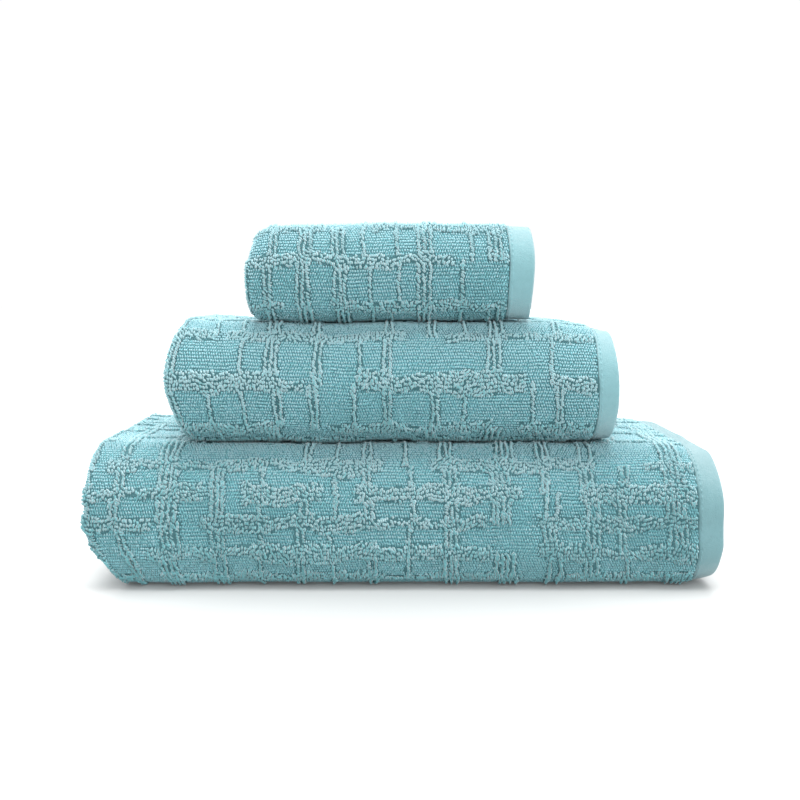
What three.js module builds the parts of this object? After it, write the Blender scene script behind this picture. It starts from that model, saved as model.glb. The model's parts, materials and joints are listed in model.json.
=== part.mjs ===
// A set of three cotton terry towels, folded and stacked: bath towel, hand towel, face towel.
// Millimetres, +Z up, +X to the right of someone facing the front folds, -Y towards them.
// The origin is the middle of the floor that the stack covers.
//
// Each towel is folded in half across its width, which leaves a soft fold at the left and the two
// side hems at the right. The doubled cloth is then folded along its length into a flat block whose
// front is one thick round fold. Cloth, hems, seams and label are separate pieces.
import * as THREE from "three";

// The cloth
const LAYER_GAP = 0.5; // air between two folded layers
const SHEET_GAP = 0.5; // air between the two halves of the doubled cloth
const JOINT_GAP = 0.3; // between a piece and the one it is sewn or woven to
const STACK_GAP = 0.6; // between one towel and the next

// The hems, turned over and sewn down
const END_HEM_WIDTH = 20;
const HEM_THICK = 2.4;

// The seams, one row of lockstitch along each hem
const SEAM_WIDTH = 1.0;
const SEAM_THICK = 0.5;
const SEAM_INSET = 1.8; // from the hem's inner edge

// The blank care label, sewn into an end hem near the open side
const LABEL_WIDTH = 26;
const LABEL_LENGTH = 20;
const LABEL_THICK = 0.8;
const LABEL_FROM_HEM = 40; // from the side hem to the label's middle
const LABEL_GAP = 0.5; // room for the label to bend up beside its seam

// How far the hemmed ends stop short of the back
const END_SET_IN = 22;

// How finely the bends are cut
const FRONT_BEND_STEPS = 8;
const BACK_BEND_STEPS = 6;
const SIDE_BEND_STEPS = 6;

// The order in which the doubled cloth visits its layers, counted from the bottom.
// It starts with a free end at the back and turns at the front and the back by turns.
const INTO_EIGHT = [0, 7, 4, 3, 2, 5, 6, 1];
const INTO_SIX = [0, 5, 4, 1, 2, 3];

// flat is the open towel's width and length, hem the width of its side hems, and height the folded
// towel's thickness.
// setBack is how far its front lies behind the bath towel's front, and shift how far it sits to +X.
const TOWELS = [
  { name: "bath", flat: [700, 1400], hem: 14, height: 75, visits: INTO_EIGHT, setBack: 0, shift: 0 },
  { name: "hand", flat: [500, 1000], hem: 11, height: 68.4, visits: INTO_EIGHT, setBack: 13.7, shift: -5.8 },
  { name: "face", flat: [320, 500], hem: 14, height: 55.6, visits: INTO_SIX, setBack: 22, shift: -7.3 },
];

const terry = new THREE.MeshStandardMaterial({ color: 0x7fb4bb, roughness: 0.95, metalness: 0 });
const flatWeave = new THREE.MeshStandardMaterial({ color: 0x9cc6cc, roughness: 0.85, metalness: 0 });
const thread = new THREE.MeshStandardMaterial({ color: 0xa6cdd2, roughness: 0.6, metalness: 0 });
const satin = new THREE.MeshStandardMaterial({ color: 0xf1efe8, roughness: 0.45, metalness: 0 });

// A line of points in the YZ plane, so that a sweep has one section at each of them. The sections
// stand across the line, with their x away from the towel's middle and their y along the part's X.
class PointRun extends THREE.Curve {
  constructor(points) {
    super();
    this.points = points;
  }
  getPointAt(u, target = new THREE.Vector3()) {
    return target.copy(this.points[Math.round(u * (this.points.length - 1))]);
  }
  computeFrenetFrames() {
    const across = new THREE.Vector3(1, 0, 0);
    const tangents = this.points.map((here, i) => {
      const before = this.points[i - 1] ?? here;
      const after = this.points[i + 1] ?? here;
      const arriving = here.clone().sub(before).normalize();
      const leaving = after.clone().sub(here).normalize();
      return arriving.add(leaving).normalize();
    });
    const normals = tangents.map((along) => across.clone().cross(along));
    return { tangents, normals, binormals: tangents.map(() => across) };
  }
}

function sweep(section, points) {
  const settings = { steps: points.length - 1, extrudePath: new PointRun(points) };
  return new THREE.ExtrudeGeometry(section, settings);
}

// The pitch of the doubled layers and half the thickness of one.
function layering(towel) {
  const pitch = (towel.height + LAYER_GAP) / towel.visits.length;
  return { pitch, half: (pitch - LAYER_GAP) / 2 };
}

const layerHeight = (towel, layer) => layering(towel).half + layer * layering(towel).pitch;

// The points of one bend, from the end of one layer to the start of the next.
function bend(centreY, fromZ, toZ, steps, side) {
  const middle = (fromZ + toZ) / 2;
  const radius = (fromZ - toZ) / 2;
  const points = [];
  for (let i = 0; i <= steps; i++) {
    const turn = (Math.PI * i) / steps;
    const y = centreY + side * Math.abs(radius) * Math.sin(turn);
    points.push(new THREE.Vector3(0, y, middle + radius * Math.cos(turn)));
  }
  return points;
}

// The bends at the back, each with its centre's distance from the back. A bend inside a larger one
// shares that one's centre.
function backBends(towel) {
  const { pitch, half } = layering(towel);
  const bends = [];
  for (let i = 1; i + 1 < towel.visits.length; i += 2) {
    const pair = [towel.visits[i], towel.visits[i + 1]];
    bends.push({ low: Math.min(...pair), high: Math.max(...pair) });
  }
  for (const own of bends) {
    const outer = bends.find((b) => b.low < own.low && b.high > own.high) ?? own;
    own.inset = ((outer.high - outer.low) * pitch) / 2 + half;
  }
  return bends;
}

// The middle line of the doubled cloth for a given depth, from the first free end to the last.
function middleLine(towel, depth) {
  const bends = backBends(towel);
  const freeY = depth - END_SET_IN;
  const frontY = towel.height / 2;
  const points = [new THREE.Vector3(0, freeY, layerHeight(towel, towel.visits[0]))];
  for (let i = 0; i + 1 < towel.visits.length; i++) {
    const [here, next] = [towel.visits[i], towel.visits[i + 1]];
    const [fromZ, toZ] = [layerHeight(towel, here), layerHeight(towel, next)];
    if (i % 2 === 0) {
      points.push(...bend(frontY, fromZ, toZ, FRONT_BEND_STEPS, -1));
    } else {
      const own = bends.find((b) => b.low === Math.min(here, next));
      points.push(...bend(depth - own.inset, fromZ, toZ, BACK_BEND_STEPS, 1));
    }
  }
  points.push(new THREE.Vector3(0, freeY, layerHeight(towel, towel.visits.at(-1))));
  return points;
}

function lineLength(points) {
  return points.slice(1).reduce((sum, p, i) => sum + p.distanceTo(points[i]), 0);
}

// The depth that uses up the whole length of the towel. The length grows evenly with the depth.
function foldedDepth(towel) {
  const trial = towel.height * 2;
  const short = lineLength(middleLine(towel, trial));
  const growth = lineLength(middleLine(towel, trial + 1)) - short;
  return trial + (towel.flat[1] - short) / growth;
}

// Cuts a length off both ends of a line whose first and last stretches are straight.
function trimmed(points, cut) {
  const ends = [points[0], points.at(-1)].map((end, i) => {
    const inner = i === 0 ? points[1] : points.at(-2);
    return end.clone().add(inner.clone().sub(end).setLength(cut));
  });
  return [ends[0], ...points.slice(1, -1), ends[1]];
}

// A doubled sheet seen along the length of the towel: two leaves joined by a round fold at low X,
// whose centre is at foldX. inner and outer are the leaves' distances from the middle.
function foldedSection(foldX, high, inner, outer) {
  const arc = (radius, from, to) => {
    const points = [];
    for (let i = 0; i <= SIDE_BEND_STEPS; i++) {
      const turn = from + ((to - from) * i) / SIDE_BEND_STEPS;
      points.push(new THREE.Vector2(radius * Math.cos(turn), foldX - radius * Math.sin(turn)));
    }
    return points;
  };
  return new THREE.Shape([
    new THREE.Vector2(outer, high),
    ...arc(outer, 0, Math.PI),
    new THREE.Vector2(-outer, high),
    new THREE.Vector2(-inner, high),
    ...arc(inner, Math.PI, 0),
    new THREE.Vector2(inner, high),
  ]);
}

function stripSection(lowX, highX, lowSide, highSide) {
  const section = new THREE.Shape();
  section.moveTo(lowSide, lowX);
  section.lineTo(lowSide, highX);
  section.lineTo(highSide, highX);
  section.lineTo(highSide, lowX);
  return section;
}

function piece(name, geometry, material) {
  const mesh = new THREE.Mesh(geometry, material);
  mesh.name = name;
  return mesh;
}

// The terry cloth between the four hems.
function cloth(towel, plan) {
  const section = foldedSection(plan.foldX, plan.hemX - JOINT_GAP, SHEET_GAP / 2, plan.half);
  const line = trimmed(plan.line, END_HEM_WIDTH + JOINT_GAP);
  return piece(`${towel.name}_terry_cloth`, sweep(section, line), terry);
}

// The two side hems and their seams. The outer one faces out of the folded towel.
function sideHems(towel, plan) {
  const made = [];
  const seamX = plan.hemX + SEAM_INSET;
  for (const [label, side] of [["outer", 1], ["inner", -1]]) {
    const hemSides = [plan.leaf - HEM_THICK / 2, plan.leaf + HEM_THICK / 2].map((n) => side * n);
    const seamSides = [plan.seamSide, plan.seamSide + SEAM_THICK].map((n) => side * n);
    const hem = stripSection(plan.hemX, plan.right, ...hemSides);
    const seam = stripSection(seamX, seamX + SEAM_WIDTH, ...seamSides);
    made.push(piece(`${towel.name}_side_hem_${label}`, sweep(hem, plan.line), flatWeave));
    made.push(piece(`${towel.name}_side_seam_${label}`, sweep(seam, plan.line), thread));
  }
  return made;
}

// The two end hems and their seams, which run round the fold at the left.
function endHems(towel, plan) {
  const made = [];
  const ends = [["first", plan.line[0], plan.line[1]], ["last", plan.line.at(-1), plan.line.at(-2)]];
  for (const [label, end, next] of ends) {
    const inwards = next.clone().sub(end).normalize();
    const along = (distance) => end.clone().addScaledVector(inwards, distance);
    const high = plan.hemX - JOINT_GAP;
    const hem = foldedSection(plan.foldX, high, plan.leaf - HEM_THICK / 2, plan.leaf + HEM_THICK / 2);
    const seam = foldedSection(plan.foldX, high, plan.seamSide, plan.seamSide + SEAM_THICK);
    const seamStart = END_HEM_WIDTH - SEAM_INSET - SEAM_WIDTH;
    const hemLine = [along(0), along(END_HEM_WIDTH)];
    const seamLine = [along(seamStart), along(seamStart + SEAM_WIDTH)];
    made.push(piece(`${towel.name}_end_hem_${label}`, sweep(hem, hemLine), flatWeave));
    made.push(piece(`${towel.name}_end_seam_${label}`, sweep(seam, seamLine), thread));
  }
  return made;
}

// The blank care label stands out of the first end hem's lower leaf.
function careLabel(towel, plan) {
  const end = plan.line[0];
  const geometry = new THREE.BoxGeometry(LABEL_WIDTH, LABEL_LENGTH, LABEL_THICK);
  const made = piece(`${towel.name}_care_label`, geometry, satin);
  made.position.set(
    plan.hemX - LABEL_FROM_HEM,
    end.y + LABEL_GAP + LABEL_LENGTH / 2,
    end.z - plan.leaf,
  );
  return made;
}

// The measures that the pieces of one towel share.
function planOf(towel, depth) {
  const { half } = layering(towel);
  const right = towel.flat[0] / 4;
  const leaf = (half + SHEET_GAP / 2) / 2;
  return {
    half,
    leaf,
    foldX: half - right,
    right,
    hemX: right - towel.hem,
    seamSide: leaf + HEM_THICK / 2 + JOINT_GAP,
    line: middleLine(towel, depth),
  };
}

function foldedTowel(towel, depth) {
  const plan = planOf(towel, depth);
  const group = new THREE.Group();
  group.add(cloth(towel, plan), ...sideHems(towel, plan), ...endHems(towel, plan), careLabel(towel, plan));
  return group;
}

const set = new THREE.Group();
const frontY = -foldedDepth(TOWELS[0]) / 2;
let base = 0;
for (const towel of TOWELS) {
  const group = foldedTowel(towel, foldedDepth(towel));
  group.position.set(towel.shift, frontY + towel.setBack, base);
  set.add(group);
  base += towel.height + STACK_GAP;
}

export default set;
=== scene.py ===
"""Folded bath towel set: terry cloth with its pile, hems, stitching, care labels and a studio."""

import functools
import json
import math

import bpy
import numpy as np
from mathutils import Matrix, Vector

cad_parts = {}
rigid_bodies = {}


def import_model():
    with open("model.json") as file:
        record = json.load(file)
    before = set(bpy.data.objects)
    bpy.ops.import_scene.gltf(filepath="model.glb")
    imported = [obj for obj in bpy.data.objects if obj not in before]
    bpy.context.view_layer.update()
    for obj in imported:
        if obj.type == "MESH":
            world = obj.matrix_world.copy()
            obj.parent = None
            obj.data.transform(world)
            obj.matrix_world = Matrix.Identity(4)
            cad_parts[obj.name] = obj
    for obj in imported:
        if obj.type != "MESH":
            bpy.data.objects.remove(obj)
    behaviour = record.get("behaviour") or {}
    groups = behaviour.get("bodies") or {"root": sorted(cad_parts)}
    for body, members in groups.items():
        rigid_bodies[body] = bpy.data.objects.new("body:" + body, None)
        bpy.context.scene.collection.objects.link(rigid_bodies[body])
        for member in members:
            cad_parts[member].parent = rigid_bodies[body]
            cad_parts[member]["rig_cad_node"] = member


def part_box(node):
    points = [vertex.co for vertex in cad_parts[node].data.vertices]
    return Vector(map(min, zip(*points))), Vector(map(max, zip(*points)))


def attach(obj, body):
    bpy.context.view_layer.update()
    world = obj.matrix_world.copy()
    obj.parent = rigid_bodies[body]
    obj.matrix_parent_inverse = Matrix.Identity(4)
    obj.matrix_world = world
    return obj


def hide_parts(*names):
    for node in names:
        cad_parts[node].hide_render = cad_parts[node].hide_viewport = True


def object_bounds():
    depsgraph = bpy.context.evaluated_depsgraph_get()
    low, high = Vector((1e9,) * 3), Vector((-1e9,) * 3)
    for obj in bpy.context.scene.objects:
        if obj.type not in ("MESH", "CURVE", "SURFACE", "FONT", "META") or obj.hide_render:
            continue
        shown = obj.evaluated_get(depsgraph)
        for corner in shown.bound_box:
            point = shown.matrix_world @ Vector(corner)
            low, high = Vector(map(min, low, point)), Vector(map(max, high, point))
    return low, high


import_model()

CAD_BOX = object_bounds()

bl_info = {
    "name": "Folded Towel Set",
    "version": (1, 0, 0),
    "blender": (4, 5, 0),
    "location": "View3D > Sidebar > Towels",
    "description": "Builds a stack of folded terry towels with raised pile, hems and stitching",
    "category": "Add Mesh",
}

MM = 0.001

# Sizes in millimetres.
LAYER_GAP = 0.5  # between two layers of a folded towel
SHEET_GAP = 0.5  # between the two leaves of the doubled cloth
JOINT_GAP = 0.3  # between the terry and its hems
HEM_THICK = 2.4
SEAM_THICK = 0.42
SEAM_LIFT = 0.05  # how far the stitches' middle stands off the hem's face
SEAM_INSET = 1.8  # from the hem's inner edge to the middle of its stitches
LABEL_THICK = 0.6
SATIN_PITCH = 0.6  # between the ribbon's threads
LABEL_EASE = 0.5  # a ribbon starts this far out from its hem, so that it can bend up
PRESS_DEPTH = 0.9  # how far the pile sinks under the towel that lies on it
HELD_IN = 0.12  # how far the cloth sinks where it is held inside the fold
FLOOR_CLEARANCE = 0.9  # loops closer to the floor than this are pressed flat, and left out
LINE_STEP = 0.5  # how finely the folded line is cut
NEAR = 0.3  # how far apart two places are taken, to find which way the cloth faces there
TERRY_HIDDEN_STEP = 9.0  # the length of the terry's faces inside the fold
HEM_STEP, HEM_HIDDEN_STEP = 2.2, 6.0
EDGE_INSET = 0.6  # how far the loops stay in from the terry's long edges
END_INSET = 1  # and from its two ends

STITCH_SHARE = 0.8  # a stitch's length as a share of the pitch
HEM_PALER = 0.4  # how much of a towel's paler tone its hems and thread take up
SHOWN_ENOUGH = 0.45  # cloth that shows less than this carries no loops
TALL_FROM = 0.35  # how far the grid is raised where the tall loops start
LOW_UP_TO = 0.45  # and where the low loops end
KNOT_SIDES = 4  # low loops are beads with this many sides
LOOP_RINGS, LOOP_SIDES = 4, 3  # and tall loops are arches of this many rings
LOOPS_IN_A_PIECE = 9500
KNOTS_IN_A_PIECE = 12000
TALL_SEED, LOW_SEED = 500, 900  # added to a towel's own seed

# The stage, in metres.
FLOOR_SIDE, FLOOR_BACK, FLOOR_DROP = 12.0, 3.0, 0.0002
CAMERA_X = -0.0016

PAINTED_HAZE = (0.085, 0.03, 0.03)  # painted highlight: a pale haze added to the yarn's lightest tone, which the loops facing up mostly take

# For each towel: the open cloth's size, how finely its faces are cut, the layers in the order the
# cloth visits them, and the bends that show, each with the side of the cloth that faces out there.
# How it settles is in millimetres: sag is how far the bottom of the front fold comes forwards,
# lifted and corner_right how far the bottom right corner rises and draws in, corner_low and
# corner_high how far the left end draws in at the bottom and at the top, and droop_left and
# droop_right how far the top sinks at each end. paler makes the yarn's tones lighter, and the
# smaller towels have more of it.
TOWELS = {
    "bath": {
        "flat": (700, 1400), "fine": 1.8, "seed": 11, "paler": 0.0,
        "visits": (0, 7, 4, 3, 2, 5, 6, 1), "open_bends": {0: 1, 1: 1, 3: 1},
        "sag": 21.0, "lifted": 3.0, "corner_right": 5.5,
        "corner_low": 22.0, "corner_high": 1.5, "droop_left": -1.5, "droop_right": 2.7,
        "rests_on": "floor", "above": "hand",
    },
    "hand": {
        "flat": (500, 1000), "fine": 1.45, "seed": 23, "paler": 0.75,
        "visits": (0, 7, 4, 3, 2, 5, 6, 1), "open_bends": {0: 1, 1: 1, 3: 1},
        "sag": 0.0, "lifted": 0.0, "corner_right": 1.0,
        "corner_low": 9.0, "corner_high": 6.0, "droop_left": -2.0, "droop_right": 5.0,
        "rests_on": "bath_terry", "above": "face",
    },
    "face": {
        "flat": (320, 500), "fine": 1.15, "seed": 37, "paler": 0.75,
        "visits": (0, 5, 4, 1, 2, 3), "open_bends": {0: 1, 1: 1, 3: -1},
        "sag": 0.0, "lifted": 0.0, "corner_right": 0.0,
        "corner_low": 2.0, "corner_high": 6.0, "droop_left": 4.0, "droop_right": 1.5,
        "rests_on": "hand_terry", "above": None,
    },
}


# ---------------------------------------------------------------- small maths


def ramp(low, high, value):
    t = np.clip((value - low) / (high - low), 0.0, 1.0)
    return t * t * (3.0 - 2.0 * t)


def ripple(t):
    """A smooth wandering value between about -1 and 1."""
    return (np.sin(t) + np.sin(1.7 * t + 2.0) + np.sin(2.9 * t + 4.0)) * 0.43


def unit(v):
    return v / np.maximum(np.linalg.norm(v, axis=-1, keepdims=True), 1e-9)


# ---------------------------------------------------------------- the folded shape


def node_box(node):
    low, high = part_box(node)
    return np.array(low) / MM, np.array(high) / MM


def plan_of(name):
    """Where a towel lies and how its cloth runs, in millimetres, from the fixed frame."""
    facts = TOWELS[name]
    low, high = node_box(f"{name}_terry_cloth")
    hem_low, hem_high = node_box(f"{name}_side_hem_outer")
    end_low, end_high = node_box(f"{name}_end_hem_first")
    layers = len(facts["visits"])
    height = high[2] - low[2]
    pitch = (height + LAYER_GAP) / layers
    half = (pitch - LAYER_GAP) / 2
    plan = dict(
        facts,
        name=name,
        left=low[0],
        front=low[1],
        back=high[1],
        bottom=low[2],
        height=height,
        pitch=pitch,
        half=half,
        leaf=(half + SHEET_GAP / 2) / 2,
        fold_x=low[0] + half,
        hem_x=hem_low[0],
        right=hem_high[0],
        free_y=end_high[1],
        end_hem=end_high[1] - end_low[1],
    )
    plan.update(fold_line(plan))
    return plan


def fold_line(plan):
    """The middle line of the doubled cloth, finely cut, with its running length and heading."""
    visits, pitch, half = plan["visits"], plan["pitch"], plan["half"]
    levels = [plan["bottom"] + half + visit * pitch for visit in visits]
    turns = [sorted(pair) for pair in zip(visits, visits[1:])]
    y, z, heading, marks = [], [], [], []
    here, direction = plan["free_y"], -1
    angle = math.pi  # heading in the YZ plane: pi runs towards the front
    for k, level in enumerate(levels):
        last = k == len(levels) - 1
        if last:
            end = plan["free_y"]
        elif direction < 0:
            end = plan["front"] + plan["height"] / 2
        else:
            # A bend at the back that lies inside another starts where the outer one does.
            outer = [t for t in turns[1::2] if t[0] < turns[k][0] and t[1] > turns[k][1]]
            low, high = outer[0] if outer else turns[k]
            end = plan["back"] - ((high - low) * pitch / 2 + half)
        steps = max(2, int(abs(end - here) / LINE_STEP))
        marks.append(("run", k, len(y), len(y) + steps))
        y.extend(np.linspace(here, end, steps, endpoint=False))
        z.extend([level] * steps)
        heading.extend([angle] * steps)
        if last:
            y.append(end)
            z.append(level)
            heading.append(angle)
            break
        following = levels[k + 1]
        radius = abs(following - level) / 2
        up = 1 if following > level else -1
        steps = max(8, int(math.pi * radius / LINE_STEP))
        t = np.linspace(0, math.pi, steps, endpoint=False)
        marks.append(("bend", k, len(y), len(y) + steps))
        y.extend(end + direction * radius * np.sin(t))
        z.extend((level + following) / 2 - up * radius * np.cos(t))
        swing = -up if direction < 0 else up
        heading.extend(angle + swing * t)
        angle += swing * math.pi
        here, direction = end, -direction
    y, z, heading = np.array(y), np.array(z), np.array(heading)
    along = np.concatenate([[0], np.cumsum(np.hypot(np.diff(y), np.diff(z)))])
    spans = [(kind, k, along[a], along[min(b, len(along) - 1)]) for kind, k, a, b in marks]
    return {
        "y": y, "z": z, "heading": heading, "along": along, "spans": spans, "length": along[-1]
    }


def cover(plan, x, s):
    """1 where the towel above presses the pile down, and 0 where nothing rests on it."""
    if not plan["above"]:
        return np.zeros(np.shape(s))
    top = PLANS[plan["above"]]
    start, end = next((a, b) for kind, k, a, b in plan["spans"] if kind == "run" and k == 1)
    y = np.interp(s, plan["along"], plan["y"])
    inside = np.minimum.reduce([x - top["left"], top["right"] - x, top["free_y"] - y])
    inside = np.minimum(inside, y - top["front"] - 0.16 * top["height"])
    return ramp(-5.0, 2.0, inside) * (s > start) * (s < end)


def exposure(plan, x, s, side):
    """0 where the cloth is pressed against something, and 1 where its pile stands free."""
    shown = np.zeros(np.shape(s))
    for kind, k, start, end in plan["spans"]:
        if kind == "bend" and plan["open_bends"].get(k) == side:
            edge = 0.5 * (end - start) * 0.12
            free = ramp(start - 4, start + edge, s) * ramp(end + 4, end - edge, s)
            shown = np.maximum(shown, free)
        if kind == "run" and k == 1 and side > 0:
            free = ramp(start - 3, start + 1, s) * ramp(end + 3, end - 1, s)
            shown = np.maximum(shown, free * (1 - 0.5 * cover(plan, x, s)))
    return shown


def relax(plan, p):
    """Lets a neatly folded towel settle: soft left corners, and small dips and swells all over."""
    x, y, z = p[..., 0].copy(), p[..., 1].copy(), p[..., 2].copy()
    share = np.clip((z - plan["bottom"]) / plan["height"], 0, 1)
    span = plan["right"] - plan["left"]
    near_left = np.clip(1 - (x - plan["left"]) / (0.3 * span), 0, 1) ** 2
    near_right = np.clip(1 - (plan["right"] - x) / 50.0, 0, 1) ** 2
    x += near_left * plan["corner_low"] * np.clip(1 - share / 0.45, 0, 1) ** 1.3
    high = np.clip((share - 0.55) / 0.45, 0, 1) ** 1.5
    x += high * (near_left * plan["corner_high"] - near_right**2 * plan["droop_right"] * 0.15)
    z -= share**2 * (near_left**2 * plan["droop_left"] + near_right * plan["droop_right"])
    z += near_right**3 * (1 - share) ** 3 * plan["lifted"]
    x -= near_right * np.clip(1 - share / 0.3, 0, 1) * plan["corner_right"]
    deep_in = np.clip((y - plan["front"]) / plan["height"] - 0.4, 0, 0.6) / 0.6
    y -= plan["sag"] * np.clip(1 - share / 0.5, 0, 1) ** 1.5 * (1 - deep_in)
    lift = ramp(12.0, 30.0, z)  # nothing moves where the set meets the floor
    z += lift * (0.8 * ripple(x / 61 + 0.4) * ripple(y / 70 + 1.1) + 0.5 * ripple(x / 33 + y / 90))
    y += 0.9 * ripple(x / 47 + z / 60 + 0.7) + 0.4 * ripple(x / 19 + z / 25)
    x += 0.5 * ripple(z / 21 + y / 80)
    return np.stack([x, y, z], -1)


def place(plan, x, s, n):
    """The point at x along the fold, s along the cloth and n out from the middle of the fold."""
    heading = np.interp(s, plan["along"], plan["heading"])
    y = np.interp(s, plan["along"], plan["y"]) - n * np.sin(heading)
    z = np.interp(s, plan["along"], plan["z"]) + n * np.cos(heading)
    # Past a free end, the line runs on straight.
    over = np.minimum(s, 0) + np.maximum(s - plan["length"], 0)
    y = y + over * np.cos(heading)
    return relax(plan, np.stack([np.broadcast_to(x, y.shape), y, z], -1))


# ---------------------------------------------------------------- the raised grid


def weave_grid(plan):
    """The places of the raised bands and strokes on one towel, from its seed."""
    rng = np.random.default_rng(plan["seed"])
    width, length = plan["flat"]
    bands, at = [], -30.0
    while at < length + 30:
        bands.append((at, rng.uniform(2.0, 3.8), rng.uniform(0, 40)))
        at += rng.uniform(13, 28)
    strokes, group, at = [], [], -width / 2 - 40
    while at < width / 2 + 40:
        number = group[-1] + 1 if group else 0
        for _ in range(rng.choice([1, 2, 3, 4], p=[0.34, 0.28, 0.24, 0.14])):
            strokes.append((at, rng.uniform(0.9, 1.4), rng.uniform(0, 40)))
            group.append(number)
            at += rng.uniform(2.7, 3.4)
        at += rng.uniform(8, 19)
    rows = len(bands) + 1
    slips = rng.normal(0, 1.4, (rows, group[-1] + 1))
    gaps = rng.random((rows, group[-1] + 1)) < 0.1
    return {
        "bands": bands,
        "strokes": strokes,
        "slip": slips[:, group],
        "kept": ~gaps[:, group] & (rng.random((rows, len(strokes))) < 0.92),
    }


def band_line(band, u):
    """The middle of a raised band, at a place across the cloth."""
    centre, _, phase = band
    return centre + 1.4 * ripple(u / 15 + phase) + 0.7 * ripple(u / 4.1 + phase)


def stroke_line(grid, j, v):
    """The middle of a raised stroke, at a place along the cloth."""
    row = np.searchsorted([b[0] for b in grid["bands"]], v)
    centre, _, phase = grid["strokes"][j]
    return centre + grid["slip"][row, j] + 0.5 * ripple(v / 9 + phase)


def band_height(grid, u, v):
    height = np.zeros(np.broadcast(u, v).shape)
    for band in grid["bands"]:
        centre, half, phase = band
        near = np.abs(v - centre) < 2 * half + 6
        if near.any():
            wide = 1.1 + 0.25 * ripple(u / 8 + 2 * phase)
            edge = half * (wide + 0.5 * ripple(u / 33 + 5 * phase))
            there = ramp(-0.62, -0.3, ripple(u / 27 + 3 * phase))
            off = np.abs(v - band_line(band, u))
            height = np.maximum(height, near * there * ramp(edge + 0.6, edge - 0.6, off))
    return height


def stroke_height(grid, u, v):
    height = np.zeros(np.broadcast(u, v).shape)
    row = np.searchsorted([b[0] for b in grid["bands"]], v)
    for j, (_, half, phase) in enumerate(grid["strokes"]):
        off = np.abs(u - stroke_line(grid, j, v))
        edge = half * (1 + 0.2 * ripple(v / 4 + phase))
        height = np.maximum(height, grid["kept"][row, j] * ramp(edge + 0.5, edge - 0.5, off))
    return height


def raised(plan, u, v):
    """How far the pile is raised at a place on the flat cloth, from 0 to 1."""
    return np.maximum(band_height(plan["grid"], u, v), stroke_height(plan["grid"], u, v))


# ---------------------------------------------------------------- meshes


def new_piece(name, points, faces_by_size, body, slot, material, attributes=None):
    """A smooth mesh from points in millimetres and faces grouped by their number of corners."""
    sizes = np.concatenate([np.full(len(f), f.shape[1]) for f in faces_by_size])
    corners = np.concatenate([f.ravel() for f in faces_by_size])
    points = points * MM
    points[:, 2] = np.maximum(points[:, 2], 0.0)
    starts = np.concatenate([[0], np.cumsum(sizes)[:-1]])
    mesh = bpy.data.meshes.new(name)
    mesh.vertices.add(len(points))
    mesh.vertices.foreach_set("co", points.astype(np.float32).ravel())
    mesh.loops.add(len(corners))
    mesh.loops.foreach_set("vertex_index", corners.astype(np.int32))
    mesh.polygons.add(len(sizes))
    mesh.polygons.foreach_set("loop_start", starts.astype(np.int32))
    mesh.polygons.foreach_set("loop_total", sizes.astype(np.int32))
    mesh.polygons.foreach_set("use_smooth", np.ones(len(sizes), bool))
    for key, values in (attributes or {}).items():
        kind = "FLOAT" if values.ndim == 1 else "FLOAT_VECTOR"
        layer = mesh.attributes.new(key, kind, "POINT")
        field = "value" if kind == "FLOAT" else "vector"
        layer.data.foreach_set(field, values.astype(np.float32).ravel())
    mesh.update()
    mesh.validate()
    piece = bpy.data.objects.new(name, mesh)
    bpy.context.scene.collection.objects.link(piece)
    piece.data.materials.append(material)
    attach(piece, body)
    return piece


def faces_in(points, quads):
    """True where the quads of a closed shape face inwards."""
    a, b, c, d = (points[quads[:, m]] for m in range(4))
    return (a * np.cross(b, c)).sum() + (a * np.cross(c, d)).sum() < 0


def swept_piece(name, grid, *facts):
    """A piece from rings of points, with quads between them and two end caps, all facing out."""
    rings, columns = grid.shape[:2]
    points = grid.reshape(-1, 3)
    i, j = np.meshgrid(np.arange(rings - 1), np.arange(columns), indexing="ij")
    k = (j + 1) % columns
    corners = [i * columns + j, i * columns + k, (i + 1) * columns + k, (i + 1) * columns + j]
    quads = np.stack(corners, -1).reshape(-1, 4)
    caps = np.stack([np.arange(columns)[::-1], (rings - 1) * columns + np.arange(columns)])
    if faces_in(points, quads):
        quads, caps = quads[:, ::-1], caps[:, ::-1]
    return new_piece(name, points, [quads, caps], *facts)


def flat_places(u, s):
    """Each point's place on the flat cloth, for the patterns that follow the weave."""
    u, s = np.broadcast_arrays(u, s)
    return np.stack([u.ravel(), s.ravel(), np.zeros(u.size)], -1)


def stations(plan, fine, coarse, start, end):
    """Places along the cloth, close together where it shows and further apart inside the fold."""
    found = []
    for kind, k, a, b in plan["spans"]:
        if kind == "run":
            step = fine * 1.15 if k == 1 else coarse
        elif k == 0:
            step = fine
        elif k in plan["open_bends"]:
            step = fine * 1.25
        else:
            step = min(coarse, 0.5 * ((b - a) / math.pi))
        count = max(2, int(math.ceil((b - a) / step)))
        found.extend(np.linspace(a, b, count, endpoint=False))
    s = np.array(found + [plan["length"]])
    s = s[(s > start + 0.4) & (s < end - 0.4)]
    return np.concatenate([[start], s, [end]])


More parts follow.
